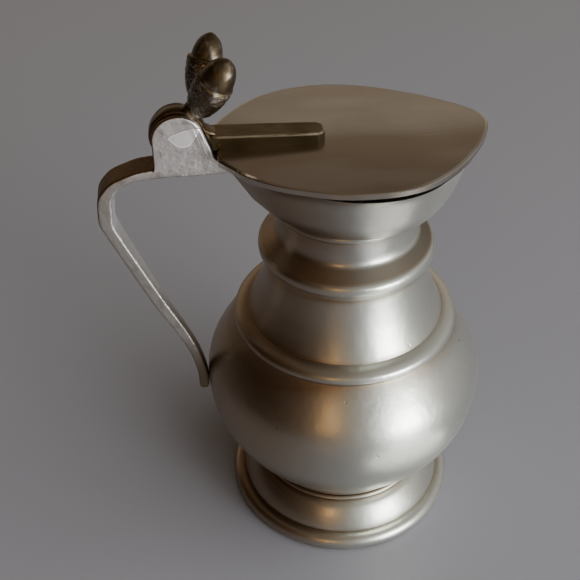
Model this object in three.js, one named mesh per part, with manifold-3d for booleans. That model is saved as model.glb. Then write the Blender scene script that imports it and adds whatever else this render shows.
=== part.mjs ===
// A small cast pewter pitcher with a flat hinged lid, a strap handle and a twin-acorn thumbpiece.
// Millimetres, +Z up. The body is turned about Z, the spout points along +X and the handle along -X.

import * as THREE from "three";
import { mergeVertices } from "three/addons/utils/BufferGeometryUtils.js";
import Module from "manifold-3d";

const wasm = await Module();
wasm.setup();

// Sizes that several pieces share
const turnedFacets = 40; // flats round a turned piece
const boreFacets = 20; // flats round the pin, its holes and the acorns
const wall = 2; // thickness of the pewter
const seatGap = 0.3; // left between castings that sit in or against each other
const cutOverrun = 5; // how far a cutting solid runs past what it cuts

// Foot: a rolled ring, the hollow drum it is soldered round, and the plate that closes it
const footRadius = 38;
const footRollRadius = 3;
const footRollFlat = 0.2; // filed off the ring where it stands
const drumRadius = 34.2;
const drumTopLip = 0.4; // drum's top edge past the belly that stands on it
const drumHeight = 14.8;
// Out from the drum's top edge to its widest, and up the drum
const drumShares = [
  [1, 0.4], [0.956, 0.46], [0.853, 0.56], [0.72, 0.672], [0.573, 0.783], [0.426, 0.878],
  [0.309, 0.94], [0.176, 0.975],
];
const drumSocketRadius = 31.7; // outside of the drum where the ring goes round it
const cordRadius = 0.7; // fine bead between drum and belly
const basePlateThick = 1.5;

// Belly: two bowls soldered at the widest line, with a raised ridge on the shoulder
const bellyRadius = 44.3;
const bellyHeight = 58.2;
const bellyShares = [
  [0.61, 0], [0.7, 0.08], [0.795, 0.17], [0.878, 0.26], [0.944, 0.372], [0.986, 0.493], [1, 0.605],
  [0.991, 0.69], [0.955, 0.769], [0.894, 0.848], [0.828, 0.926], [0.767, 1],
];
const seamKnot = 6; // the widest point in that list
const ridgeHeight = 4.9;
const ridgeProud = 0.8; // how far the ridge stands out past the belly's top edge
const ridgeShares = [[0.6, 0.1], [1, 0.28], [1, 0.45], [0.4, 0.66], [-1, 0.84], [-2.6, 0.95]];
const ridgeTopRadius = 30.4;

// Neck: a waisted cone, then one casting with a roll, a sloping shelf, a straight neck and a bead
const coneHeight = 18.7;
const coneTopRadius = 24;
const coneSag = 1.1; // how far the cone's side is drawn in at its middle
const collarRadius = 26.5;
const collarFoot = 2.2; // cone's top to the roll
const collarRoll = 4.8; // height of the roll
const collarShelfRadius = 22.6;
const collarShelf = 2.4; // height that the shelf climbs from the roll to the neck
const neckRadius = 20.7;
const neckHeight = 8.8;
const throatBeadRadius = 21.8;
const throatBeadHeight = 2.2;

// Mouth and lid share one outline, pointed at the spout and cut straight at the hinge
const mouthHeight = 18.05;
// Height up the mouth, then how much of the flare is done there at the spout and at the hinge
const flareShares = [
  [0, 0, 0], [0.03, 0.26, 0.1], [0.08, 0.46, 0.18], [0.28, 0.64, 0.42], [0.56, 0.75, 0.61],
  [0.84, 0.85, 0.8], [1, 1, 1],
];
const mouthRows = 8;
const lidHalfLength = 39.4;
const lidHalfWidth = 30;
const lidThick = 2.1;
const lidOverhang = 0.6; // lid past the mouth's rim
const lidRearShare = 0.939;
const outlineShares = [
  [1, 0], [0.982, 0.113], [0.929, 0.267], [0.838, 0.44], [0.635, 0.707], [0.381, 0.89], [0.127, 0.98],
  [-0.076, 1], [-0.305, 0.947], [-0.508, 0.853], [-0.685, 0.72], [-0.838, 0.513], [-lidRearShare, 0.33],
];

// Hinge: two ears on the handle, the lid's knuckle between them, and the pin
const hingeBehindLid = 10.3; // pin axis behind the lid's rear edge
const hingeAboveLid = 3.85; // pin axis above the lid's top
const earRadius = 7.1;
const earThick = 1.9;
const earSlopeAngle = Math.PI / 7; // where the ear's round top turns into its straight slope
const knuckleRadius = 7.8;
const knuckleThick = 4.3;
const knuckleSideGap = 0.25;
const pinRadius = 1.6;
const pinClearance = 0.08;

// Handle: a tapered strap with a flat inner face and a domed outer face
const handleReach = 69.5; // body axis to the middle of the strap at its furthest
const handleArmDepth = 4; // rim down to the middle of the arm
const handleEndAboveFoot = 47.5;
const strapThick = 4.4;
const strapDome = 0.8;
const strapSteps = 36;
// Across from the belly end to the furthest reach, up from the end to the arm, thickness, width
const strapShares = [
  [-0.5, 1.012, 0.6, 0.98], [-0.27, 1.004, 0.68, 0.98], [-0.04, 1.001, 0.75, 0.98],
  [0.256, 0.994, 0.73, 0.98], [0.54, 0.983, 0.67, 0.98], [0.7, 0.962, 0.7, 0.98],
  [0.855, 0.935, 0.84, 0.98], [0.935, 0.908, 0.92, 0.97], [0.99, 0.867, 1, 0.96],
  [1, 0.819, 0.93, 0.94], [0.955, 0.772, 0.83, 0.9], [0.8, 0.658, 0.82, 0.76],
  [0.637, 0.543, 0.83, 0.64], [0.453, 0.42, 0.83, 0.56], [0.247, 0.29, 0.7, 0.53],
  [0.088, 0.182, 0.62, 0.51], [0, 0.068, 0.59, 0.5], [0, 0, 0.54, 0.48],
];

// Lid strap: the bar along the lid, narrowing in height to its rounded tip
const barLength = 30.4;
const barWidth = 7.4;
const barTipWidth = 6.9;
const barRootHeight = 4;
const barTipHeight = 2.8;
const barEarGap = 0.6;
const barCornerRadius = 2.4;

// Thumbpiece: a stem on the knuckle that carries two acorns, leaning forward and apart
const stemRadius = 1.9;
const stemFootRadius = 3;
const acornCupRadius = 4.7;
const acornCupHeight = 10.4;
const acornNutRadius = 4.4;
const acornLength = 19;
const acornApart = 2.1; // body's middle plane to where each acorn springs
// Each acorn's base from the pin axis, and its lean forward and sideways in degrees
const far = { ahead: 6.3, rise: 7.7, lean: 15, splay: -15.5 };
const near = { ahead: 5.4, rise: 6.9, lean: 28, splay: 16 };
const cupShares = [[0, 0.06], [0.45, 0.12], [0.84, 0.36], [0.99, 0.62], [1, 0.84], [0.93, 0.98]];
const nutShares = [[1, 0.58], [0.98, 0.68], [0.86, 0.8], [0.62, 0.91], [0.3, 0.97], [0.08, 0.99], [0, 1]];

// Heights that follow from the sizes above
const drumTopRadius = bellyShares[0][0] * bellyRadius + drumTopLip;
const bellyBase = drumHeight + 2 * cordRadius;
const shoulderHeight = bellyBase + bellyHeight;
const coneBase = shoulderHeight + ridgeHeight;
const collarBase = coneBase + coneHeight;
const shelfBase = collarBase + collarFoot + collarRoll;
const neckBase = shelfBase + collarShelf;
const throatHeight = neckBase + neckHeight + throatBeadHeight;
const rimHeight = throatHeight + mouthHeight;
const lidBase = rimHeight + seatGap;
const lidTop = lidBase + lidThick;
const hingeX = -(lidRearShare * lidHalfLength + hingeBehindLid);
const hingeZ = lidTop + hingeAboveLid;
const hingeWidth = 2 * earThick + knuckleThick + 2 * knuckleSideGap;
const armZ = rimHeight - handleArmDepth;

// Pewter finishes: turned and brushed, rough from the mould, and tarnished
const pewter = (color, roughness) => new THREE.MeshStandardMaterial({ color, roughness, metalness: 1 });
const satin = () => pewter(0xb3b1ac, 0.36);
const dull = () => pewter(0xa19c96, 0.5);
const cast = () => pewter(0xaeb0b0, 0.55);
const tarnished = () => pewter(0x5f5348, 0.5);

const v2 = (x, y) => new THREE.Vector2(x, y);
const v3 = (x, y, z) => new THREE.Vector3(x, y, z);

// One closed body with merged corners, no flat triangles and its faces pointing out
function closed(geometry) {
  const merged = mergeVertices(geometry.deleteAttribute("normal").deleteAttribute("uv"));
  const at = merged.attributes.position;
  const corner = (i) => new THREE.Vector3().fromBufferAttribute(at, i);
  const faces = [];
  let volume = 0;
  for (let i = 0; i < merged.index.count; i += 3) {
    const face = [0, 1, 2].map((k) => merged.index.getX(i + k));
    if (new Set(face).size < 3) continue;
    faces.push(face);
    const [a, b, c] = face.map(corner);
    volume += a.dot(b.cross(c));
  }
  const outward = volume < 0 ? faces.map(([a, b, c]) => [a, c, b]) : faces;
  merged.setIndex(outward.flat());
  return merged;
}

function toSolid(geometry) {
  const body = closed(geometry);
  const mesh = new wasm.Mesh({
    numProp: 3,
    vertProperties: new Float32Array(body.attributes.position.array),
    triVerts: new Uint32Array(body.index.array),
  });
  return new wasm.Manifold(mesh);
}

function toGeometry(solid) {
  const mesh = solid.getMesh();
  const geometry = new THREE.BufferGeometry();
  geometry.setAttribute("position", new THREE.BufferAttribute(mesh.vertProperties, 3));
  geometry.setIndex(new THREE.BufferAttribute(mesh.triVerts, 1));
  return geometry;
}

// A turned piece: its section is a list of radius and height, closed on itself or on the axis
function turned(section, facets = turnedFacets) {
  const onAxis = section[0].x === 0 && section[section.length - 1].x === 0;
  const loop = onAxis ? section : [...section, section[0]];
  return closed(new THREE.LatheGeometry(loop, facets).rotateX(Math.PI / 2));
}

// A skin through rings of equal point count, with both ends capped from their centres
function lofted(rings) {
  const count = rings[0].length;
  const middle = (ring) => ring.reduce((sum, p) => sum.add(p), v3(0, 0, 0)).divideScalar(count);
  const points = [...rings.flat(), middle(rings[0]), middle(rings[rings.length - 1])];
  const faces = [];
  for (let j = 0; j < count; j++) {
    const next = (j + 1) % count;
    for (let i = 0; i + 1 < rings.length; i++) {
      const [a, b, c, d] = [i * count + j, i * count + next, (i + 1) * count + next, (i + 1) * count + j];
      faces.push(a, b, c, a, c, d);
    }
    const last = (rings.length - 1) * count;
    faces.push(points.length - 2, next, j, points.length - 1, last + j, last + next);
  }
  return closed(new THREE.BufferGeometry().setFromPoints(points).setIndex(faces));
}

// An outline in X and Z given a thickness in Y, centred on y
function upright(shape, thick, y) {
  const options = { depth: thick, bevelEnabled: false, curveSegments: 20 };
  const geometry = new THREE.ExtrudeGeometry(shape, options);
  return geometry.rotateX(Math.PI / 2).translate(0, y + thick / 2, 0);
}

// An outline in X and Y given a thickness in Z, standing on z
function level(shape, thick, z) {
  const options = { depth: thick, bevelEnabled: false, curveSegments: 8 };
  return new THREE.ExtrudeGeometry(shape, options).translate(0, 0, z);
}

// A round bar along Y through the hinge axis
function hingeRod(radius, length) {
  return new THREE.CylinderGeometry(radius, radius, length, boreFacets).translate(hingeX, 0, hingeZ);
}

// Points on an arc of an ellipse, its angles in degrees
function arc(centre, radius, height, from, to, steps) {
  return Array.from({ length: steps + 1 }, (_, i) => {
    const angle = THREE.MathUtils.degToRad(from + ((to - from) * i) / steps);
    return v2(centre.x + radius * Math.cos(angle), centre.y + height * Math.sin(angle));
  });
}

const bellyCurve = new THREE.SplineCurve(
  bellyShares.map(([across, up]) => v2(across * bellyRadius, bellyBase + up * bellyHeight)));
const seamAt = seamKnot / (bellyShares.length - 1);

function alongBelly(from, to, steps) {
  return Array.from({ length: steps + 1 }, (_, i) => bellyCurve.getPoint(from + ((to - from) * i) / steps));
}

const inward = (points) => points.map((p) => v2(p.x - wall, p.y)).reverse();

const rollCentre = v2(footRadius - footRollRadius, footRollRadius - footRollFlat);

// The ring's section is a circle with its lowest part filed flat
function footRing() {
  const flat = THREE.MathUtils.radToDeg(Math.acos(rollCentre.y / footRollRadius));
  return turned(arc(rollCentre, footRollRadius, footRollRadius, -90 + flat, 270 - flat, 14));
}

function footDrum() {
  const bulge = drumShares.map(([out, up]) =>
    v2(THREE.MathUtils.lerp(drumTopRadius, drumRadius, out), up * drumHeight));
  const cord = arc(v2(drumTopRadius, drumHeight + cordRadius), cordRadius, cordRadius, -75, 90, 4);
  const outside = [v2(drumSocketRadius, 0), v2(drumSocketRadius, bulge[0].y - seatGap), ...bulge, ...cord];
  const inside = [v2(drumTopRadius - wall, bellyBase), v2(drumTopRadius - wall, drumHeight - wall),
    v2(drumSocketRadius - wall, bulge[0].y), v2(drumSocketRadius - wall, 0)];
  const socketRadius = footRollRadius + seatGap;
  const socket = turned(arc(rollCentre, socketRadius, socketRadius, 0, 342, 18));
  return toGeometry(toSolid(turned([...outside, ...inside])).subtract(toSolid(socket)));
}

function basePlate() {
  const radius = drumSocketRadius - wall - seatGap;
  return turned([v2(0, 0), v2(radius, 0), v2(radius, basePlateThick), v2(0, basePlateThick)]);
}

function lowerBowl() {
  const outside = alongBelly(0, seamAt, 8);
  const floor = bellyBase + wall;
  const inside = inward(outside).filter((p) => p.y > floor + wall);
  const floorEdge = v2(inside[inside.length - 1].x - 2 * wall, floor);
  return turned([v2(0, bellyBase), ...outside, ...inside, floorEdge, v2(0, floor)]);
}

function shoulderBowl() {
  const belly = alongBelly(seamAt, 1, 7);
  const top = belly[belly.length - 1];
  const ridge = ridgeShares.map(([out, up]) => v2(top.x + out * ridgeProud, top.y + up * ridgeHeight));
  const roof = v2(ridgeTopRadius, coneBase);
  const outside = [...belly, ...ridge, roof];
  return turned([...outside, v2(roof.x - wall, roof.y), ...inward(belly)]);
}

function coneOutside() {
  return Array.from({ length: 7 }, (_, i) => {
    const up = i / 6;
    const straight = THREE.MathUtils.lerp(ridgeTopRadius, coneTopRadius, up);
    return v2(straight - 4 * coneSag * up * (1 - up), coneBase + up * coneHeight);
  });
}

function neckCollar() {
  const roll = arc(v2(coneTopRadius, shelfBase - collarRoll / 2), collarRadius - coneTopRadius,
    collarRoll / 2, -80, 60, 7);
  const cove = arc(v2(collarShelfRadius, neckBase + collarShelf), collarShelfRadius - neckRadius,
    collarShelf, 270, 180, 4);
  const bead = arc(v2(neckRadius, throatHeight - throatBeadHeight / 2), throatBeadRadius - neckRadius,
    throatBeadHeight / 2, -75, 75, 5);
  const outside = [v2(coneTopRadius, collarBase), v2(coneTopRadius, shelfBase - collarRoll), ...roll, ...cove,
    ...bead, v2((throatBeadRadius + neckRadius) / 2, throatHeight)];
  const inside = [v2(neckRadius - wall, throatHeight), v2(neckRadius - wall, neckBase),
    v2(coneTopRadius - wall, shelfBase - collarRoll), v2(coneTopRadius - wall, collarBase)];
  return turned([...outside, ...inside]);
}

// Half of the lid's outline from the spout to the hinge, then its mirror image, inset all round
function outline(inset, steps) {
  const knots = outlineShares.map(([along, across]) => v2(along * lidHalfLength, across * lidHalfWidth));
  const half = new THREE.SplineCurve(knots);
  const drawn = half.getPoints(steps).map((p, i) => {
    const out = i === 0 ? v2(1, 0) : half.getTangent(i / steps).rotateAround(v2(0, 0), -Math.PI / 2);
    return p.clone().addScaledVector(out, -inset);
  });
  const rear = drawn[drawn.length - 1];
  rear.x = -(lidRearShare * lidHalfLength - inset);
  const mirror = drawn.slice(1).reverse().map((p) => v2(p.x, -p.y));
  return [...drawn, v2(rear.x, 0), ...mirror];
}

// The mouth flares from the round throat to the lid's outline. Grow thickens it for the handle's cut.
function mouthRings(grow) {
  const throat = (throatBeadRadius + neckRadius) / 2;
  const flare = new THREE.CatmullRomCurve3(flareShares.map((share) => v3(...share))).getPoints(mouthRows);
  return flare.map(({ x: up, y: atSpout, z: atHinge }) => outline(lidOverhang, 22).map((p) => {
    const angle = Math.atan2(p.y, p.x);
    const done = THREE.MathUtils.lerp(atHinge, atSpout, (1 + Math.cos(angle)) / 2);
    const radius = THREE.MathUtils.lerp(throat, p.length(), done) + grow;
    return v3(radius * Math.cos(angle), radius * Math.sin(angle), throatHeight + up * mouthHeight);
  }));
}

function mouth() {
  const outer = toSolid(lofted(mouthRings(0)));
  const rings = mouthRings(-wall);
  const sink = rings[0].map((p) => v3(p.x, p.y, p.z - cutOverrun));
  const raised = rings.map((ring, i) => ring.map((p) => v3(p.x, p.y, p.z + (i === 0 ? 0 : wall / 2))));
  return toGeometry(outer.subtract(toSolid(lofted([sink, ...raised]))));
}

function lidPlate() {
  return closed(level(new THREE.Shape(outline(0, 30)), lidThick, lidBase));
}

// The strap's middle line, read as shares between the belly and the furthest reach
const endThick = strapThick * strapShares[strapShares.length - 1][2];
const strapEndX = -(bellyRadius + endThick / 2);
const strapCurve = new THREE.SplineCurve(strapShares.map(([out, up]) => v2(
  strapEndX - out * (handleReach + strapEndX), handleEndAboveFoot + up * (armZ - handleEndAboveFoot))));

function strapRing(t) {
  const place = t * (strapShares.length - 1);
  const knot = Math.min(Math.floor(place), strapShares.length - 2);
  const [before, after] = [strapShares[knot], strapShares[knot + 1]];
  const share = (k) => THREE.MathUtils.lerp(before[k], after[k], place - knot);
  const thick = strapThick * share(2);
  const half = (hingeWidth * share(3)) / 2;
  const at = strapCurve.getPoint(t);
  const out = strapCurve.getTangent(t).rotateAround(v2(0, 0), -Math.PI / 2);
  const dome = arc(v2(0, thick / 2), half, strapDome * share(3), 0, 180, 6);
  const section = [v2(-half, -thick / 2), v2(half, -thick / 2), ...dome];
  return section.map((p) => v3(at.x + out.x * p.y, p.x, at.y + out.y * p.y));
}

// One ear from the side: round over the pin, sloping down to the lid's edge and on to the bowl
function earShape() {
  const front = hingeX + hingeBehindLid - seatGap;
  const inner = front + earRadius / 2;
  const shape = new THREE.Shape();
  shape.moveTo(inner, armZ);
  shape.lineTo(hingeX - earRadius, armZ);
  shape.absarc(hingeX, hingeZ, earRadius, Math.PI, earSlopeAngle, true);
  shape.lineTo(front - 3 * seatGap, rimHeight);
  shape.lineTo(front + wall, rimHeight - seatGap);
  shape.lineTo(inner, rimHeight - wall);
  return shape;
}

// Strap, bracket and ears are one casting, cut clear of the pin, the knuckle, the mouth and the belly
function handle() {
  const rings = Array.from({ length: strapSteps + 1 }, (_, i) => strapRing(i / strapSteps));
  const earMiddle = (hingeWidth - earThick) / 2;
  const bellySide = alongBelly(0, 1, 16).map((p) => v2(p.x + seatGap, p.y));
  const belly = turned([v2(0, bellyBase), ...bellySide, v2(0, shoulderHeight)]);
  return toGeometry(toSolid(lofted(rings))
    .add(toSolid(upright(earShape(), earThick, earMiddle)))
    .add(toSolid(upright(earShape(), earThick, -earMiddle)))
    .subtract(toSolid(hingeRod(pinRadius + pinClearance, hingeWidth + cutOverrun)))
    .subtract(toSolid(hingeRod(knuckleRadius + seatGap, knuckleThick + 2 * knuckleSideGap)))
    .subtract(toSolid(lofted(mouthRings(seatGap))))
    .subtract(toSolid(belly)));
}

function lidBar() {
  const root = hingeX + hingeBehindLid - barEarGap;
  const tip = root + barLength;
  const side = new THREE.Shape([v2(root, lidTop), v2(tip, lidTop), v2(tip, lidTop + barTipHeight),
    v2(root - barEarGap, lidTop + barRootHeight)]);
  const plan = new THREE.Shape();
  const corner = v2(tip - barCornerRadius, barTipWidth / 2 - barCornerRadius);
  plan.moveTo(root - cutOverrun, -barWidth / 2);
  plan.lineTo(corner.x, -barTipWidth / 2);
  plan.absarc(corner.x, -corner.y, barCornerRadius, -Math.PI / 2, 0, false);
  plan.absarc(corner.x, corner.y, barCornerRadius, 0, Math.PI / 2, false);
  plan.lineTo(root - cutOverrun, barWidth / 2);
  return toSolid(upright(side, 2 * barWidth, 0))
    .intersect(toSolid(level(plan, barRootHeight + cutOverrun, lidTop - cutOverrun / 2)));
}

// The knuckle from the side: a round barrel with a tongue that runs forward into the bar
function knuckleShape() {
  const front = hingeX + hingeBehindLid + barEarGap;
  const spread = Math.PI / 6;
  const shape = new THREE.Shape();
  shape.moveTo(front, lidTop + seatGap);
  shape.lineTo(front, lidTop + barRootHeight - seatGap);
  shape.absarc(hingeX, hingeZ, knuckleRadius, spread, 2 * Math.PI - spread, false);
  return shape;
}

// Bar, tongue and knuckle are one casting, bored for the pin
function lidStrap() {
  return toGeometry(toSolid(upright(knuckleShape(), knuckleThick, 0))
    .add(lidBar())
    .subtract(toSolid(hingeRod(pinRadius + pinClearance, hingeWidth))));
}

// A cup and its nut turned as one
function acorn({ ahead, rise, lean, splay }) {
  const section = [
    ...cupShares.map(([across, up]) => v2(across * acornCupRadius, up * acornCupHeight)),
    ...nutShares.map(([across, up]) => v2(across * acornNutRadius, up * acornLength)),
  ];
  return turned(section, boreFacets)
    .rotateY(THREE.MathUtils.degToRad(lean)).rotateX(THREE.MathUtils.degToRad(splay))
    .translate(hingeX + ahead, -Math.sign(splay) * acornApart, hingeZ + rise);
}

function thumbpiece() {
  const [ahead, rise] = [far.ahead, far.rise + stemRadius];
  const length = Math.hypot(ahead, rise);
  const stem = new THREE.CylinderGeometry(stemRadius, stemFootRadius, length, boreFacets)
    .rotateX(Math.PI / 2).translate(0, 0, length / 2)
    .rotateY(Math.atan2(ahead, rise)).translate(hingeX, 0, hingeZ);
  return toGeometry(toSolid(stem).add(toSolid(acorn(far))).add(toSolid(acorn(near)))
    .subtract(toSolid(hingeRod(knuckleRadius + seatGap, hingeWidth + cutOverrun))));
}

const pitcher = new THREE.Group();
const place = (name, geometry, material) => {
  const mesh = new THREE.Mesh(geometry, material);
  mesh.name = name;
  pitcher.add(mesh);
};

place("foot_ring", footRing(), satin());
place("foot_drum", footDrum(), satin());
place("base_plate", basePlate(), dull());
place("lower_bowl", lowerBowl(), satin());
place("shoulder_bowl", shoulderBowl(), satin());
place("neck_cone", turned([...coneOutside(), ...inward(coneOutside())]), satin());
place("neck_collar", neckCollar(), satin());
place("mouth", mouth(), satin());
place("handle", handle(), cast());
place("hinge_pin", closed(hingeRod(pinRadius, hingeWidth)), cast());
place("lid_plate", lidPlate(), satin());
place("lid_strap", lidStrap(), dull());
place("thumbpiece", thumbpiece(), tarnished());

export default pitcher;
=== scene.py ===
"""The lidded pewter syrup pitcher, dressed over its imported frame. Metres, +Z up, spout along +X."""

from math import atan2, cos, hypot, pi, radians, sin

import bmesh
import bpy
from mathutils import Matrix, Vector, noise


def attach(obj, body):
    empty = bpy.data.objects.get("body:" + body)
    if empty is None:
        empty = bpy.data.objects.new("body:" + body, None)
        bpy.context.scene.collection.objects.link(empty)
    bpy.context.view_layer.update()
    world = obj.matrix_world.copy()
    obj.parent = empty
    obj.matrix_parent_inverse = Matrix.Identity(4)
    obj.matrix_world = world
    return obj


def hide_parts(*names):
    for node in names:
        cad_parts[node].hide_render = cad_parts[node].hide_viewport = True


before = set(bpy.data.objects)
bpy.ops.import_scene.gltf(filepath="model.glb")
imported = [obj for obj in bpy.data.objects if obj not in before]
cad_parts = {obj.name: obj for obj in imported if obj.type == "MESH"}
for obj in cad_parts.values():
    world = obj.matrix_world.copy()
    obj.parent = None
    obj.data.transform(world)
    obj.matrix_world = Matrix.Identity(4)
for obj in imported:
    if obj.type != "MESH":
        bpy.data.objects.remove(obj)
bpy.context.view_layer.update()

# The camera looks down on the pitcher from its near side, the spout pointing right, as in the photograph.
# Its place, turn and lens were fitted to the pitcher's rings, lid and foot.
camera_place = (-0.0421, -0.2387, 0.2816)
looking = Vector((0.0803, 0.7687, -0.6346)).normalized()
level_right = looking.cross(Vector((0, 0, 1))).normalized()
level_up = level_right.cross(looking)
roll = radians(-0.79)
camera_right = level_right * cos(roll) + level_up * sin(roll)
camera_up = level_up * cos(roll) - level_right * sin(roll)
lens = bpy.data.cameras.new("camera")
lens.lens = 62.07
lens.sensor_width = 36
camera = bpy.data.objects.new("camera", lens)
turn = Matrix((camera_right, camera_up, -looking)).transposed().to_4x4()
camera.matrix_world = Matrix.Translation(camera_place) @ turn
bpy.context.collection.objects.link(camera)
bpy.context.scene.camera = camera

# Foot ring: a rolled ring of cast pewter soldered round the foot, its underside filed flat. Like all the
# turned pieces it was spun on a lathe and rubbed to a satin, with brown tarnish left in its hollows and
# shade painted near black in the deepest of them.
MM = 0.001


class Value:
    """A socket with the operators that node maths needs."""

    def __init__(self, nodes, socket):
        self.nodes = nodes
        self.socket = socket

    def maths(self, operation, *others):
        sockets = dict(enumerate((self, *others)))
        return self.nodes.add("ShaderNodeMath", {"operation": operation}, sockets)

    def __add__(self, other):
        return self.maths("ADD", other)

    def __sub__(self, other):
        return self.maths("SUBTRACT", other)

    def __rsub__(self, other):
        return self.nodes.add("ShaderNodeMath", {"operation": "SUBTRACT"}, {0: other, 1: self})

    def __mul__(self, other):
        return self.maths("MULTIPLY", other)

    def __truediv__(self, other):
        return self.maths("DIVIDE", other)

    __radd__ = __add__
    __rmul__ = __mul__

    def between(self, low, high):
        """0 at low, 1 at high and smooth between, whichever is the greater."""
        settings = {"interpolation_type": "SMOOTHSTEP"}
        sockets = {"Value": self, "From Min": low, "From Max": high}
        if low > high:
            sockets.update({"From Min": high, "From Max": low, "To Min": 1, "To Max": 0})
        return self.nodes.add("ShaderNodeMapRange", settings, sockets)

    def around(self, middle, reach):
        """1 at the middle, falling to 0 at the reach on both sides."""
        return (self - middle).maths("ABSOLUTE").between(reach, 0)


class Nodes:
    """A node tree, and the one way in which its nodes are made."""

    def __init__(self, tree):
        self.tree = tree

    def add(self, kind, settings, sockets, output=0):
        node = self.tree.nodes.new(kind)
        for setting, value in settings.items():
            setattr(node, setting, value)
        for socket, value in sockets.items():
            self.feed(node.inputs[socket], value)
        return Value(self, node.outputs[output])

    def feed(self, socket, value):
        if isinstance(value, Value):
            self.tree.links.new(value.socket, socket)
        elif socket.type == "RGBA":
            socket.default_value = (*value, 1)
        else:
            socket.default_value = value

    def mix(self, share, one, other):
        """The first colour where the share is 0 and the other where it is 1."""
        return self.add("ShaderNodeMix", {"data_type": "RGBA"}, {0: share, 6: one, 7: other}, 2)


class Finish(Nodes):
    """A metal surface, whose marks follow the piece's own place."""

    def __init__(self, name):
        self.material = bpy.data.materials.new(name)
        self.material.use_nodes = True
        super().__init__(self.material.node_tree)
        self.shader = self.tree.nodes["Principled BSDF"]
        self.shader.inputs["Metallic"].default_value = 1
        self.place = self.add("ShaderNodeTexCoord", {}, {}, "Object")
        self.x, self.y, self.z = (
            self.add("ShaderNodeSeparateXYZ", {}, {0: self.place}, axis) for axis in range(3))
        self.radius = (self.x * self.x + self.y * self.y).maths("SQRT")

    def noise(self, scale, detail=3, place=None):
        sockets = {"Vector": place or self.place, "Scale": scale, "Detail": detail}
        return self.add("ShaderNodeTexNoise", {}, sockets)

    def at(self, x, y, z):
        """A place put together from three values."""
        return self.add("ShaderNodeCombineXYZ", {}, {0: x, 1: y, 2: z})

    def mark(self, name):
        """A value that the piece's mesh holds at each of its points."""
        return self.add("ShaderNodeAttribute", {"attribute_name": name}, {}, "Fac")

    def bump(self, height, depth):
        return self.add("ShaderNodeBump", {}, {"Height": height, "Distance": depth, "Strength": 1})

    def wears(self, **sockets):
        for socket, value in sockets.items():
            self.feed(self.shader.inputs[socket.replace("_", " ")], value)


satin = Finish("satin_pewter")
# Painted light and shade: the satin is a lit copy toward the spout and a shaded copy toward the handle.
satin_shaded_side, satin_lit_side = (0.60, 0.615, 0.56), (0.78, 0.795, 0.73)
mouth_grey, shelf_grey = (0.44, 0.44, 0.415), (0.26, 0.25, 0.22)
tarnish_and_shade_brown, painted_shade_black = (0.29, 0.205, 0.13), (0.07, 0.05, 0.035)
turning_lines = 1100
clouds = satin.noise(26, 4)
turning_marks = satin.noise(1, 2, satin.at(satin.radius * turning_lines, satin.z * turning_lines, 0))
hollow = satin.mark("hollow")
along_spout = satin.x / (satin.radius + 2 * MM)
# Painted shade: the handle's side is painted darker brown, added to the brown tarnish of hollows, clouds
# and pits.
handle_side_shade = along_spout.between(0.1, -0.75)
pits = satin.noise(420, 2).between(0.7, 0.78) * satin.noise(60, 2).between(0.55, 0.65)
brown = hollow * 0.75 + handle_side_shade * 0.85 + clouds.between(0.45, 0.75) * 0.15 + pits * 0.5
# Painted shade: the mouth away from the spout and the collar's shelf are painted a darker grey.
shaded_mouth = satin.z.between(106 * MM, 111 * MM) * along_spout.between(0.75, 0.3)
shelf = satin.z.between(104.6 * MM, 105.5 * MM) * satin.z.between(108.9 * MM, 107.6 * MM)
satin_lit_and_shaded = satin.mix(along_spout.between(-0.1, 0.9), satin_shaded_side, satin_lit_side)
satin_lit_and_shaded = satin.mix(shelf, satin.mix(shaded_mouth, satin_lit_and_shaded, mouth_grey), shelf_grey)
tarnished_and_shaded = satin.mix(brown.maths("MINIMUM", 1), satin_lit_and_shaded, tarnish_and_shade_brown)
satin.wears(
    # Painted shade: the deepest gaps, where the hollow share passes about 1, are painted near black.
    Base_Color=satin.mix(hollow.between(0.95, 1.25), tarnished_and_shaded, painted_shade_black),
    Roughness=0.29 + 0.12 * clouds + 0.12 * hollow,
    Normal=satin.bump(turning_marks * 0.12 + satin.noise(260, 4) * 1.8 - pits * 1.2, 0.05 * MM),
    Anisotropic=0.25,
    Anisotropic_Rotation=0.25,
)


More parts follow.
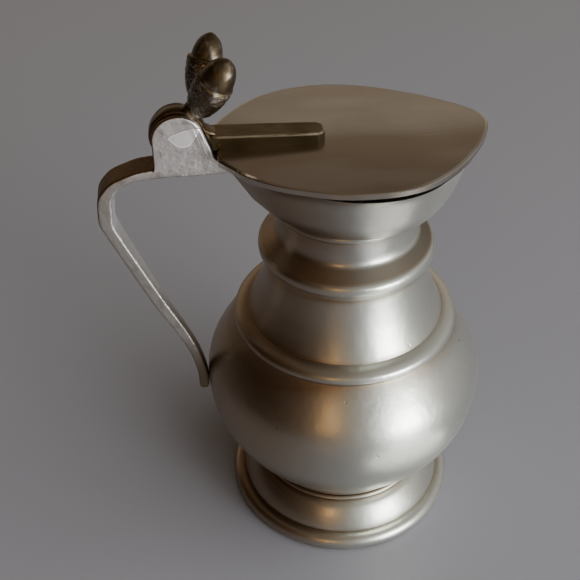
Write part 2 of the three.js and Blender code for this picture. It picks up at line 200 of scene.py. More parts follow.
def turning():
    """A lathe in geometry nodes: the object's own points are a closed section, spun about Z."""
    tree = bpy.data.node_groups.new("turning", "GeometryNodeTree")
    for name, kind in (("Section", "Geometry"), ("Flats", "Int"), ("Finish", "Material")):
        tree.interface.new_socket(name, in_out="INPUT", socket_type="NodeSocket" + kind)
    tree.interface.new_socket("Piece", in_out="OUTPUT", socket_type="NodeSocketGeometry")
    lathe = Nodes(tree)
    given = tree.nodes.new("NodeGroupInput")
    section, flats, finish = (Value(lathe, given.outputs[k]) for k in range(3))
    count = lathe.add("GeometryNodeAttributeDomainSize", {}, {0: section})
    grid = lathe.add("GeometryNodeMeshGrid", {}, {
        "Size X": 1, "Size Y": 1, "Vertices X": count + 1, "Vertices Y": flats + 1})
    place = lathe.add("GeometryNodeInputPosition", {}, {})
    along, around = (lathe.add("ShaderNodeSeparateXYZ", {}, {0: place}, k) + 0.5 for k in range(2))
    point = (along * count).maths("ROUND").maths("MODULO", count)
    drawn = lathe.add("GeometryNodeSampleIndex", {"data_type": "FLOAT_VECTOR"},
                      {"Geometry": section, "Value": place, "Index": point})
    mark = lathe.add("GeometryNodeInputNamedAttribute", {"data_type": "FLOAT"}, {"Name": "hollow"})
    hollow = lathe.add("GeometryNodeSampleIndex", {"data_type": "FLOAT"},
                       {"Geometry": section, "Value": mark, "Index": point})
    turned = lathe.add("ShaderNodeVectorRotate", {"rotation_type": "Z_AXIS"},
                       {"Vector": drawn, "Angle": around * 2 * pi})
    marked = lathe.add("GeometryNodeStoreNamedAttribute", {"data_type": "FLOAT", "domain": "POINT"},
                       {"Geometry": grid, "Name": "hollow", "Value": hollow})
    placed = lathe.add("GeometryNodeSetPosition", {}, {"Geometry": marked, "Position": turned})
    joined = lathe.add("GeometryNodeMergeByDistance", {}, {"Geometry": placed, "Distance": 0.002 * MM})
    real = lathe.add("GeometryNodeRealizeInstances", {}, {"Geometry": joined})
    finished = lathe.add("GeometryNodeSetMaterial", {}, {"Geometry": real, "Material": finish})
    tree.links.new(finished.socket, tree.nodes.new("NodeGroupOutput").inputs[0])
    return tree


def modelled(name, mesh, crease=40):
    """A mesh with its faces outward, smooth but for edges sharper than the crease, as an object."""
    work = bmesh.new()
    work.from_mesh(mesh)
    bmesh.ops.remove_doubles(work, verts=work.verts, dist=0.001 * MM)
    bmesh.ops.recalc_face_normals(work, faces=work.faces)
    work.to_mesh(mesh)
    work.free()
    mesh.shade_smooth()
    mesh.set_sharp_from_angle(angle=radians(crease))
    piece = bpy.data.objects.new(name, mesh)
    bpy.context.collection.objects.link(piece)
    return piece


def plain(piece):
    """The piece with its modifiers worked out and gone."""
    bpy.context.view_layer.update()
    done = piece.evaluated_get(bpy.context.evaluated_depsgraph_get())
    mesh = bpy.data.meshes.new_from_object(done)
    piece.modifiers.clear()
    piece.data = mesh
    return piece


lathe_tree = turning()


def turned(name, section, finish, flats=160):
    """A piece spun from a section of radius, height and a tarnish-and-shade share, in millimetres."""
    drawing = bpy.data.meshes.new(name)
    drawing.from_pydata([(p[0] * MM, 0, p[1] * MM) for p in section], [], [])
    hollow = drawing.attributes.new("hollow", "FLOAT", "POINT")
    hollow.data.foreach_set("value", [p[2] for p in section])
    drawn = bpy.data.objects.new(name + "_section", drawing)
    bpy.context.collection.objects.link(drawn)
    spin = drawn.modifiers.new("turning", "NODES")
    spin.node_group = lathe_tree
    sockets = lathe_tree.interface.items_tree
    inputs = {socket.name: socket.identifier for socket in sockets if socket.in_out == "INPUT"}
    spin[inputs["Flats"]] = flats
    spin[inputs["Finish"]] = finish.material
    mesh = plain(drawn).data.copy()
    bpy.data.objects.remove(drawn)
    mesh.name = name
    mesh.materials.clear()
    mesh.materials.append(finish.material)
    return modelled(name, mesh)


def fitted(piece, body, slot, *nodes):
    """Puts a finished piece on its body, in place of its plain solids."""
    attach(piece, body)
    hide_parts(*nodes)
    return piece


ring_steps = 40
ring_middle, ring_height, ring_roll, ring_tarnish_and_shade = 35, 2.8, 3, 1.25
ring_section = []
# The ring's inner side, toward the drum, carries brown tarnish and, deepest in, painted shade near black.
for step in range(ring_steps):
    angle = 2 * pi * step / ring_steps
    height = max(ring_height + ring_roll * sin(angle), 0)
    inner_tarnish_and_shade = ring_tarnish_and_shade * max(0, 0.1 - cos(angle)) ** 0.8
    ring_section.append((ring_middle + ring_roll * cos(angle), height, inner_tarnish_and_shade))
fitted(turned("foot_rolled_ring", ring_section, satin), "jug", "satin_pewter", "foot_ring")

# Foot drum: the hollow foot that lifts the bowl, a wide roll drawn in under a fine bead. The ring is
# soldered round its lower edge.
drum_top = 16.2
drum_neck = (27.7, 14.6, 1.2)


def smooth(knots, steps):
    """A curve through knots of radius, height and a tarnish-and-shade share, with the given steps between
    each two.
    """
    points = []
    for i in range(len(knots) - 1):
        four = [Vector(knots[min(max(i + k, 0), len(knots) - 1)]) for k in (-1, 0, 1, 2)]
        for step in range(steps):
            t = step / steps
            pull = (four[2] - four[0]) * 0.5, (four[3] - four[1]) * 0.5
            t2, t3 = t * t, t * t * t
            points.append(four[1] * (2 * t3 - 3 * t2 + 1) + pull[0] * (t3 - 2 * t2 + t)
                          + four[2] * (3 * t2 - 2 * t3) + pull[1] * (t3 - t2))
    return [*points, Vector(knots[-1])]


# Shares of 1 and more paint shade near black: low behind the ring, and under the belly by the bead.
drum_outside = smooth([
    (31.7, 0, 1.3), (31.7, 4.2, 1.3), (32.9, 4.9, 1.3), (33.9, 5.2, 1), (34.15, 5.9, 0.2), (33.8, 7.2, 0),
    (33.2, 8.5, 0), (32.2, 10.3, 0), (31.2, 11.8, 0), (30.3, 13.0, 0), (29.5, 13.8, 0),
    (28.6, 14.3, 0.2), drum_neck], 4)
drum_bead = smooth([
    drum_neck, (28.0, 15.0, 0.2), (28.05, 15.5, 0), (27.8, 15.9, 0.5), (27.1, drum_top, 1.3)], 3)
drum_inside = smooth([(25.2, drum_top, 1), (25.2, 12.5, 1), (27.5, 10, 1), (29.7, 7, 1), (29.7, 0, 1)], 3)
fitted(turned("foot_drum_roll", [*drum_outside, *drum_bead[1:], *drum_inside], satin),
       "jug", "satin_pewter", "foot_drum")

# Base plate: a plain pewter disc with one shallow groove, let into the foot from below and soldered. It
# is turned flat, with the tool's fine rings left on it, and dull where no one looks.
dull = Finish("dull_pewter")
plate_grey, plate_stain = (0.50, 0.475, 0.44), (0.26, 0.21, 0.16)
tool_lines = 2600
tool_marks = dull.noise(1, 3, dull.at(dull.radius * tool_lines, 0, 0))
stains = dull.noise(45, 5)
dull.wears(
    Base_Color=dull.mix(stains.between(0.4, 0.7), plate_grey, plate_stain),
    Roughness=0.42 + 0.2 * stains,
    Normal=dull.bump(tool_marks, 0.08 * MM),
)
plate_top = 1.5
plate_section = [(0, 0.1, 0), (9, 0.12, 0), (9.4, 0.3, 1), (9.9, 0.3, 1), (10.3, 0.12, 0),
                 (28.6, 0.05, 0), (29.2, 0.3, 0.5), (29.3, plate_top, 1), (0, plate_top, 0)]
fitted(turned("base_disc", plate_section, dull), "jug", "dull_pewter", "base_plate")

# Lower bowl: cast, then turned thin, standing on the drum and soldered to the shoulder bowl at the
# widest line of the belly.
wall = 2
inside_tarnish, floor_tarnish = 0.6, 0.8
bowl_floor, floor_curve = 18.2, 20.4
# The belly's foot and the groove under the ridge have shares over 1, painted shade near black.
ridge_foot = (33.9, 74.4, 1.3)
belly_knots = [
    (27.0, drum_top, 1.3), (28.2, 18, 0.45), (30.3, 21.5, 0.05), (34, 26, 0), (37.6, 31, 0),
    (40.6, 36, 0), (42.6, 41, 0), (43.8, 46, 0), (44.28, 51.4, 0), (44, 56, 0), (42.8, 60.3, 0),
    (40.4, 64.8, 0), (37.2, 69.6, 0.1), (34.3, 73.6, 0.8), ridge_foot]
seam, seam_steps = 8, 5
low_outside = smooth(belly_knots[:seam + 2], seam_steps)[:seam * seam_steps + 1]
low_inside = [(p[0] - wall, p[1], inside_tarnish) for p in reversed(low_outside) if p[1] > floor_curve]
low_floor = [(24, bowl_floor + 0.4, floor_tarnish), (16, bowl_floor, floor_tarnish),
             (0, bowl_floor, floor_tarnish)]
fitted(turned("lower_bowl_turned", [(0, drum_top, 1), *low_outside, *low_inside, *low_floor], satin),
       "jug", "satin_pewter", "lower_bowl")

# Shoulder bowl: the upper half of the belly, cast and turned like the lower half and soldered to it. It
# closes in to a raised ridge that the cone sits on.
ridge_top = (30.4, 79.3, 0.6)
high_outside = smooth(belly_knots[seam - 1:], seam_steps)[seam_steps:]
ridge = smooth([ridge_foot, (34.4, 74.85, 0.5), (34.75, 75.6, 0), (34.75, 76.5, 0), (34.3, 77.5, 0),
                (33.2, 78.4, 0), (31.9, 78.95, 0), (30.9, 79.2, 0.2), ridge_top], 4)[1:]
high_inside = [(p[0] - wall, p[1], inside_tarnish) for p in (ridge_top, *reversed(high_outside))]
fitted(turned("shoulder_bowl_turned", [*high_outside, *ridge, *high_inside], satin),
       "jug", "satin_pewter", "shoulder_bowl")

# Neck cone: a waisted cone, cast and turned thin, soldered between the belly's ridge and the collar.
# Tarnish stays where it meets them.
cone_top = 98
cone_outside = smooth([ridge_top, (29.6, 80.7, 0.1), (28.1, 84, 0), (26.3, 88.8, 0), (25.0, 93.4, 0),
                       (24.3, 96.6, 0.2), (24.1, cone_top, 0.9)], 5)
cone_inside = [(p[0] - wall, p[1], inside_tarnish) for p in reversed(cone_outside)]
fitted(turned("neck_cone_turned", [*cone_outside, *cone_inside], satin),
       "jug", "satin_pewter", "neck_cone")

# Neck collar: one casting with a wide roll, a shelf sloping up to a straight neck, and the bead that the
# mouth is soldered on.
collar_top, collar_bore = 118.4, 18.7
collar_outside = smooth([
    (24.1, cone_top, 1), (24.1, 99.2, 0.3), (24.5, 100.1, 0.6), (25.6, 100.5, 0.1), (26.3, 101.4, 0),
    (26.5, 102.6, 0), (26.3, 103.8, 0), (25.75, 104.6, 0.1), (25.1, 105.1, 0.7), (24.2, 105.9, 0.4),
    (22.8, 107.2, 0.4), (21.5, 108.5, 0.1), (20.95, 109.9, 0), (20.75, 112, 0), (20.7, 115.3, 0.4),
    (20.9, 116.2, 0.8), (21.5, 116.5, 0.2), (21.8, 117.2, 0), (21.65, 118.0, 0),
    (21.3, collar_top, 0.8)], 4)
collar_inside = smooth([(collar_bore, collar_top, inside_tarnish), (collar_bore, 107.4, inside_tarnish),
                        (22, 100.2, inside_tarnish), (22, cone_top, inside_tarnish)], 4)
fitted(turned("neck_collar_turned", [*collar_outside, *collar_inside], satin),
       "jug", "satin_pewter", "neck_collar")

# Mouth: a thin flaring bowl, round where it leaves the neck and pointed like the lid at its rim, with
# the pouring lip under the lid's tip. The rim dips a hair below the lid at the near side.
lid_tip, lid_rear = (39.95, 2.6), -37
far_edge = [lid_tip, (39.3, 6.6), (36.4, 10.8), (30.5, 15.7), (22, 21.3), (12.5, 26), (3, 29.2),
            (-6, 30), (-14.5, 28.8), (-22.5, 25.6), (-29, 20.6), (-34, 14.9), (lid_rear, 10.4)]
near_edge = [lid_tip, (39, -1.4), (36.2, -7.2), (31.2, -14.6), (25.2, -21.3), (18, -26.8),
             (10, -29.5), (1.5, -30.1), (-7, -29.2), (-15.5, -26.3), (-23, -22.9), (-29.5, -18.2),
             (-34.2, -12.7), (lid_rear, -9.3)]
# Each level of the flare: its share of the height, then of the way out at the spout and at the hinge.
flare_knots = [(0, 0, 0), (0.03, 0.26, 0.1), (0.08, 0.46, 0.18), (0.28, 0.64, 0.42), (0.56, 0.75, 0.61),
               (0.84, 0.85, 0.8), (1, 1, 1)]
mouth_height, throat_radius = 18.05, 21.25
flush_toward, flush_by = radians(-35), 0.5
dent_toward, dent_half, dent_depth = radians(-80), radians(34), 1.1
rim_rise = 0.2


def lid_outline(inset):
    """The lid's edge in millimetres, drawn in by the inset. Its two sides aren't quite alike."""
    loop = [Vector(p[:2]) for p in smooth([(*knot, 0) for knot in far_edge], 6)]
    near = [Vector(p[:2]) for p in smooth([(*knot, 0) for knot in near_edge], 6)]
    rear_steps = 12
    loop += [loop[-1].lerp(near[-1], k / rear_steps) for k in range(1, rear_steps)] + near[:0:-1]
    drawn = []
    for i, here in enumerate(loop):
        run = (loop[(i + 1) % len(loop)] - loop[i - 1]).normalized()
        drawn.append(here - Vector((run.y, -run.x)) * inset)
    return drawn


def skinned(name, rings, finish, caps=True, crease=40):
    """A skin through rings of points in millimetres, its ends closed where caps is true."""
    count = len(rings[0])
    points = [Vector(p) * MM for ring in rings for p in ring]
    faces = []
    for low in range(0, len(points) - count, count):
        high = low + count
        faces += [(low + j, low + (j + 1) % count, high + (j + 1) % count, high + j) for j in range(count)]
    if caps:
        faces += [tuple(range(count)), tuple(range(len(points) - count, len(points)))]
    else:
        last = (len(rings) - 1) * count
        faces += [(last + j, last + (j + 1) % count, (j + 1) % count, j) for j in range(count)]
    mesh = bpy.data.meshes.new(name)
    mesh.from_pydata(points, [], faces)
    mesh.materials.append(finish.material)
    return modelled(name, mesh, crease)


rim_inset = 0.6
rim_outline = lid_outline(rim_inset)


def mouth_ring(flare, inset):
    """One level of the mouth. Its rim lies close under the lid, but for a dent at the near side."""
    up, at_spout, at_hinge = flare[:3]
    ring = []
    for p in rim_outline:
        angle = atan2(p.y, p.x)
        share = (1 + cos(angle)) / 2
        done = at_hinge + (at_spout - at_hinge) * share
        flush = flush_by * up ** 4 * max(0, cos(angle - flush_toward)) ** 2
        radius = throat_radius + (p.length - throat_radius) * done - inset + flush
        dent = dent_depth * max(0, 1 - ((angle - dent_toward) / dent_half) ** 2)
        height = collar_top + up * mouth_height + up ** 8 * (rim_rise - dent)
        ring.append((radius * cos(angle), radius * sin(angle), height))
    return ring


flares = smooth(flare_knots, 5)
mouth_outside = [mouth_ring(flare, 0) for flare in flares]
mouth_inside = [mouth_ring(flare, wall) for flare in reversed(flares[:-1])]
mouth_piece = skinned("mouth_flared", [*mouth_outside, *mouth_inside], satin, caps=False)
fitted(mouth_piece, "jug", "satin_pewter", "mouth")

# Lid plate: a flat cast plate, pointed over the spout and cut straight at the hinge, its top edge
# broken with a file. It is smoother than the body and has gone a warm brown-grey.
lid_finish = Finish("lid_pewter")
lid_grey, lid_brown, solder_yellow = (0.62, 0.615, 0.585), (0.41, 0.36, 0.305), (0.95, 0.85, 0.6)
lid_base, lid_top, lid_bevel = 136.75, 138.85, 0.85
solder_out, solder_half, solder_slant = 3.5 * MM, 0.5 * MM, 0.0103
lid_clouds = lid_finish.noise(30, 5)
lid_rubs = lid_finish.noise(
    1, 4, lid_finish.at(lid_finish.x * 120, lid_finish.y * 900, lid_finish.z * 300))
lid_bands = lid_finish.noise(1, 1, lid_finish.at(lid_finish.x * 18, lid_finish.y * 60, 0))
# Browner in mottled bands and over the near half; painted shade darkens the top edge toward the hinge.
near_half = lid_finish.y.between(12 * MM, -12 * MM)
left_edge_shade = lid_finish.z.between(138.83 * MM, 138.55 * MM) * lid_finish.x.between(0, -15 * MM)
lid_mottling_and_shade = lid_clouds.between(0.3, 0.75) * 0.4 + lid_bands.between(0.35, 0.65) * 0.5
lid_mottling_and_shade = (lid_mottling_and_shade + near_half * 0.55 + left_edge_shade).maths("MINIMUM", 1)
beside_bar = lid_finish.x * solder_slant - lid_finish.y - solder_out
solder = beside_bar.around(0, solder_half) * lid_finish.x.between(-33 * MM, -20 * MM)
solder = solder * lid_finish.noise(500, 2).between(0.42, 0.55)
lid_metal = lid_finish.mix(solder, lid_grey, solder_yellow)
lid_finish.wears(
    Base_Color=lid_finish.mix(lid_mottling_and_shade, lid_metal, lid_brown),
    Roughness=0.13 + 0.1 * lid_clouds + 0.03 * lid_rubs,
    Normal=lid_finish.bump(lid_finish.noise(14, 2) * 4 + lid_rubs * 0.03, 0.12 * MM),
)
lid_levels = [(0.25, lid_base), (0, lid_base + 0.25), (0, lid_top - 0.45), (0.2, lid_top - 0.22),
              (lid_bevel, lid_top)]
lid_rings = [[(p.x, p.y, height) for p in lid_outline(inset)] for inset, height in lid_levels]
lid_piece = skinned("lid_flat_plate", lid_rings, lid_finish, crease=15)
fitted(lid_piece, "lid", "lid_pewter", "lid_plate")

# Handle: one casting, a tapered strap with its bracket and the two hinge ears, soldered to the mouth
# under the lid and to the belly at its widest. It is grainy from the mould, its ears filed by hand.
cast = Finish("cast_pewter")
ear_grey, strap_grey, cast_brown = (0.68, 0.65, 0.64), (0.47, 0.445, 0.41), (0.36, 0.32, 0.28)
top_shade_dark, top_shade_brown, foot_brown = (0.10, 0.058, 0.025), (0.20, 0.125, 0.06), (0.24, 0.19, 0.13)
inner_highlight_white, filed_and_highlight_white = (0.93, 0.94, 0.94), (0.95, 0.93, 0.90)
grain = cast.noise(900, 3)
dents = cast.noise(260, 3)
smears = cast.noise(70, 4)
# How far the surface turns to the near or the far side, and how far up and back it turns.
side, outer = cast.mark("side"), cast.mark("outer")
flank = outer.between(0.5, 0.15)
on_strap = cast.z.between(133.5 * MM, 130.5 * MM)
# Painted highlight: a bright line is painted along the strap's inner edge, where its face turns inward.
inner_edge_highlight = side.around(0.72, 0.18) * outer.between(0, -0.2) * smears.between(0.2, 0.5)
# The facet scraped on the near ear lies between two bows and leans a little.
facet_x, facet_y, facet_z = -45.5 * MM, -3.75 * MM, 143.7 * MM
facet_low, facet_high, facet_slant = 152.23 * MM, 157.63 * MM, 0.26
low_bow, high_bow, facet_edge = 213, 42, 0.1 * MM
off_middle = (cast.x - facet_x).maths("POWER", 2)
slanted = cast.z - cast.x * facet_slant
past_low = off_middle * low_bow + facet_low - slanted
past_high = slanted + off_middle * high_bow - facet_high
near_face = (cast.y - facet_y).between(0.15 * MM, -0.15 * MM)
facet = past_low.between(facet_edge, -facet_edge) * past_high.between(facet_edge, -facet_edge) * near_face
# Painted highlight: a bright rim is painted round the facet.
facet_rim = past_low.between(-0.9 * MM, -0.3 * MM) + past_high.between(-0.6 * MM, -0.2 * MM)
facet_rim_highlight = facet * facet_rim.maths("MINIMUM", 1)
pit_x, pit_z, pit_area = -48.6 * MM, 143.3 * MM, 0.2 * MM * MM
off_pit = (cast.x - pit_x).maths("POWER", 2) + (cast.z - pit_z).maths("POWER", 2)
dark_pit = off_pit.between(pit_area, 0)
# The ear's front edge is filed, and its foot is left rough.
down_front = cast.x * 0.926 + cast.z * 0.377
filed = down_front.between(13.8 * MM, 15.2 * MM) * cast.z.between(136.5 * MM, 138.5 * MM)
strokes = cast.noise(1, 2, cast.at(cast.x * 1500 + cast.z * 400, 0, cast.z * 160))
rough_foot = cast.z.between(136.5 * MM, 134 * MM) * cast.x.between(-52 * MM, -46 * MM)
# Painted shade: faces turned up and back are painted dark brown, the near and far faces grey.
shaded_tops = cast.mix(smears.between(0.3, 0.7), top_shade_dark, top_shade_brown)
dirty = smears.between(0.45, 0.75) * 0.4 + dents.between(0.55, 0.7) * 0.6 * (1 - facet)
flanks = cast.mix(dirty, cast.mix(on_strap, ear_grey, strap_grey), cast_brown)
# Painted highlight: the strap's inner face, between 78 and 95 mm up, is painted near white.
inner_face_highlight = outer.between(-0.3, -0.7) * cast.z.between(78 * MM, 95 * MM)
flanks = cast.mix(inner_face_highlight, flanks, inner_highlight_white)
flanks = cast.mix(cast.z.between(72 * MM, 52 * MM), flanks, foot_brown)
# The filing marks and the scraped facet are brighter metal; the facet's rim and the strap's inner edge are
# painted highlights.
filed_and_highlights = facet * 0.45 + facet_rim_highlight * 0.55 + filed * near_face * strokes.between(0.5, 0.62)
filed_and_highlights = filed_and_highlights + inner_edge_highlight * on_strap * 0.6 - dark_pit * 2
filed_and_highlights = filed_and_highlights.maths("MINIMUM", 1).maths("MAXIMUM", 0)
relief = (grain * 0.5 + dents * (1 + rough_foot)) * (1 - facet) * (0.22 * MM)
relief = relief + filed * strokes * (0.15 * MM)
lean = facet * ((cast.x - facet_x) * -0.08 + (cast.z - facet_z) * -0.14)
cast.wears(
    Base_Color=cast.mix(filed_and_highlights, cast.mix(flank, shaded_tops, flanks), filed_and_highlight_white),
    Roughness=0.42 - 0.08 * facet + 0.12 * smears - 0.1 * inner_edge_highlight,
    Normal=cast.bump(relief + lean, 1),
)
hinge_x, hinge_z, hinge_width = -47.3, 142.7, 8.6
arm_height = 132.45
# Each knot of the strap: its middle's place in X and Z, its thickness and its width.
strap_knots = [
    (-35.0, 133.5, 2.6, 8.4), (-45.6, 132.8, 3.0, 8.4), (-51.8, 132.5, 3.3, 8.4),
    (-58.5, 131.9, 3.2, 8.4), (-62.0, 130.9, 2.95, 8.4), (-65.8, 129.2, 3.1, 8.4),
    (-67.8, 126.9, 3.7, 8.4), (-69.0, 124.6, 4.05, 8.3), (-69.3, 121.1, 4.35, 8.2),
    (-69.5, 117.1, 4.1, 8.05), (-68.4, 113.1, 3.65, 7.7), (-64.7, 103.4, 3.6, 6.6),
    (-60.9, 93.6, 3.6, 5.55), (-56.6, 83.2, 3.6, 4.85), (-51.4, 72.1, 3.1, 4.55),
    (-48.0, 63.0, 2.9, 4.4), (-46.2, 54.3, 3.1, 4.3), (-46.1, 49.2, 3.1, 4.2), (-46.1, 47.6, 2.5, 3.6),
    (-46.1, 46.9, 1.4, 2.6)]


def strap_ring(here, run):
    """The strap's section: flat inside, domed outside, its edges a little rounded."""
    out = Vector((-run.y, run.x)).normalized()
    half, thick = here[3] / 2, here[2] / 2
    dome = 0.16 * half
    shoulder = thick - dome * 0.9
    inside = [(-half + 0.45, -thick), (half - 0.45, -thick)]
    far, near = ([(way * (half - 0.12), -thick + 0.13), (way * half, -thick + 0.5), (way * half, shoulder)]
                 for way in (1, -1))
    top = [(half * 0.97 * cos(a), shoulder + dome * 1.5 * sin(a))
           for a in (radians(k) for k in range(18, 163, 18))]
    loop = [*inside, *far, *top, *reversed(near)]
    return [(here[0] + out.x * up, across, here[1] + out.y * up) for across, up in loop]


strap_line = smooth([Vector(knot) for knot in strap_knots], 6)
strap_rings = []
for i, here in enumerate(strap_line):
    before, after = strap_line[max(i - 1, 0)], strap_line[min(i + 1, len(strap_line) - 1)]
    strap_rings.append(strap_ring(here, Vector((after[0] - before[0], after[1] - before[1]))))
strap = skinned("handle_strap", strap_rings, cast)


def plate(name, outline, low, high, edge, finish):
    """A flat casting in X and Z from an outline, with rounded edges, between two places in Y."""
    rows = [(low, edge), (low + edge * 0.3, edge * 0.3), (low + edge, 0),
            (high - edge, 0), (high - edge * 0.3, edge * 0.3), (high, edge)]
    middle = sum((Vector(p) for p in outline), Vector((0, 0))) / len(outline)
    rings = []
    for y, inset in rows:
        ring = []
        for p in outline:
            away = Vector(p) - middle
            kept = away * (1 - inset / away.length)
            ring.append((middle.x + kept.x, y, middle.y + kept.y))
        rings.append(ring)
    return skinned(name, rings, finish)


ear_radius, ear_thick, ear_edge = 7.1, 1.9, 0.35
ear_rear = hinge_x - ear_radius
ear_outline = [(ear_rear - 1.2, arm_height - 0.9), (ear_rear - 0.25, arm_height + 1.2),
               (ear_rear, arm_height + 3.2)]
ear_outline += [(hinge_x + ear_radius * cos(radians(a)), hinge_z + ear_radius * sin(radians(a)))
                for a in range(180, 24, -6)]
ear_outline += [(-38.6, 139.2), (-37.9, 136.6), (-36.4, 135.2), (-34.2, 134.4), (-33.6, 131.6),
                (-38, 131.3), (-46, 131.1)]
near_ear = plate("near_ear", ear_outline, -hinge_width / 2, -hinge_width / 2 + ear_thick, ear_edge, cast)
far_ear = plate("far_ear", ear_outline, hinge_width / 2 - ear_thick, hinge_width / 2, ear_edge, cast)


def joined(name, finish, *shells):
    """Several shells as one object in one finish."""
    work = bmesh.new()
    for shell in shells:
        work.from_mesh(shell.data)
    for face in work.faces:
        face.material_index = 0
    mesh = bpy.data.meshes.new(name)
    work.to_mesh(mesh)
    work.free()
    mesh.materials.append(finish.material)
    for shell in shells:
        bpy.data.objects.remove(shell)
    piece = bpy.data.objects.new(name, mesh)
    bpy.context.collection.objects.link(piece)
    return piece


def cast_whole(piece, detail, rounds):
    """Melts overlapping shells into one skin with soft inner corners, and marks which way it faces."""
    melt = piece.modifiers.new("melt", "REMESH")
    melt.mode = "VOXEL"
    melt.voxel_size = detail * MM
    soften = piece.modifiers.new("soften", "SMOOTH")
    soften.factor = 0.5
    soften.iterations = rounds
    mesh = plain(piece).data
    mesh.shade_smooth()
    for name, faces in (("side", lambda n: abs(n.y)), ("outer", lambda n: n.z * 0.6 - n.x * 0.8)):
        mark = mesh.attributes.new(name, "FLOAT", "POINT")
        mark.data.foreach_set("value", [faces(corner.normal) for corner in mesh.vertices])
    return piece


handle = cast_whole(joined("handle_cast", cast, strap, near_ear, far_ear), detail=0.25, rounds=3)
fitted(handle, "jug", "cast_pewter", "handle")

# Hinge pin: a short pewter rod driven through both ears and the knuckle, which the lid turns on. Its ends
# are filed flush with the ears and burnished over.
pin_radius, pin_half, pin_bevel = 1.6, 4.1, 0.2
pin_end = [(pin_radius, pin_half - pin_bevel), (pin_radius - pin_bevel, pin_half), (0, pin_half)]
pin_section = [(out, -up, 0) for out, up in reversed(pin_end)] + [(out, up, 0) for out, up in pin_end]
pin = turned("hinge_pin_rod", pin_section, cast, flats=32)
along_y = Matrix.Translation(Vector((hinge_x, 0, hinge_z)) * MM) @ Matrix.Rotation(pi / 2, 4, "X")
pin.data.transform(along_y)
fitted(pin, "jug", "cast_pewter", "hinge_pin")

# Lid strap: a bar cast with the hinge's knuckle, soldered flat along the lid. Its top edges are broken
# and it is glossy dark brown from handling.
bar_finish = Finish("handled_pewter")
bar_brown, bar_black = (0.19, 0.15, 0.085), (0.11, 0.08, 0.04)
knuckle_shade_black, edge_wear_and_highlight_yellow = (0.085, 0.055, 0.03), (0.60, 0.55, 0.42)
bar_slope, bar_crown, edge_band_down, edge_band_half = 0.0397, 141.33 * MM, 0.36 * MM, 0.34 * MM
bar_clouds = bar_finish.noise(90, 4)
bar_rubs = bar_finish.noise(
    1, 3, bar_finish.at(bar_finish.x * 150, bar_finish.y * 2500, bar_finish.z * 2500))
# The broken top edge is painted yellow, as wear and as a painted highlight.
bar_drop = bar_finish.z + bar_finish.x * bar_slope - bar_crown
edge_wear_and_highlight = bar_drop.around(-edge_band_down, edge_band_half) * bar_finish.x.between(-38 * MM, -36 * MM)
# Painted shade: the knuckle, between the ears, is painted near black.
at_knuckle = bar_finish.x.between(-37 * MM, -40 * MM)
bar_dark = bar_finish.mix(bar_clouds.between(0.35, 0.7), bar_brown, bar_black)
bar_dark = bar_finish.mix(at_knuckle, bar_dark, knuckle_shade_black)
bar_finish.wears(
    Base_Color=bar_finish.mix(edge_wear_and_highlight * bar_rubs.between(0.25, 0.5) * 0.8, bar_dark, edge_wear_and_highlight_yellow),
    Roughness=0.2 + 0.12 * bar_clouds,
    Normal=bar_finish.bump(bar_rubs * 0.4 + bar_clouds, 0.12 * MM),
)
# Each row of the bar: its place along X, half its width, and its height over the lid.
bar_rows = [(-38.2, 3.7, 4.0), (-30, 3.62, 3.7), (-20, 3.53, 3.35), (-12, 3.47, 3.0), (-9.2, 3.4, 2.85)]


def bar_ring(x, half, height, edge=0.7):
    low, high = lid_top, lid_top + height
    return [(x, -half, low), (x, half, low), (x, half, high - edge), (x, half - edge, high),
            (x, -half + edge, high), (x, -half, high - edge)]


bar_rings = [bar_ring(*row) for row in bar_rows]
bar_rings += [bar_ring(-7.9, 2.75, 2.75), bar_ring(-7.2, 1.9, 2.5), bar_ring(-7.0, 1.3, 2.2)]
bar = skinned("lid_bar", bar_rings, bar_finish, crease=25)
knuckle_half, knuckle_bore = 2.15, pin_radius + 0.08
knuckle_side = [(knuckle_bore, 0, 1), (7.1, 0, 0), (7.55, 0.15, 0), (7.8, 0.6, 0)]
knuckle_section = [(out, inset - knuckle_half, dark) for out, inset, dark in knuckle_side]
knuckle_section += [(out, knuckle_half - inset, dark) for out, inset, dark in reversed(knuckle_side)]
knuckle = turned("knuckle", knuckle_section, bar_finish, flats=96)
knuckle.data.transform(along_y)
tongue_outline = [(-42.5, 139.15), (-36.6, 139.15), (-36.4, 142.4), (-40.0, 144.5), (-41.5, 146.2)]
tongue = plate("tongue", tongue_outline, -knuckle_half, knuckle_half, 0.3, bar_finish)
fitted(joined("lid_strap_cast", bar_finish, bar, knuckle, tongue), "lid", "lid_pewter", "lid_strap")

# Thumbpiece: a stem with two acorns leaning apart, cast in one and soldered on the knuckle. It is dark
# with tarnish, the cups pebbled and the nuts smooth.
tarnished = Finish("tarnished_pewter")
acorn_dark, acorn_wear_and_glint = (0.12, 0.088, 0.052), (0.62, 0.57, 0.49)
# Painted highlight: a bright spot is painted on the near cup, at this place.
highlight_place = (-0.0352, -0.0093, 0.1567)
crust = tarnished.noise(420, 5)
smudges = tarnished.noise(120, 4)
cup = tarnished.mark("cup")
pebbles = tarnished.noise(1900, 2)
off_highlight = tarnished.add("ShaderNodeVectorMath", {"operation": "DISTANCE"},
                        {0: tarnished.place, 1: highlight_place}, 1)
painted_highlight = off_highlight.between(3.4 * MM, 1.8 * MM) * cup * pebbles.between(0.35, 0.5)
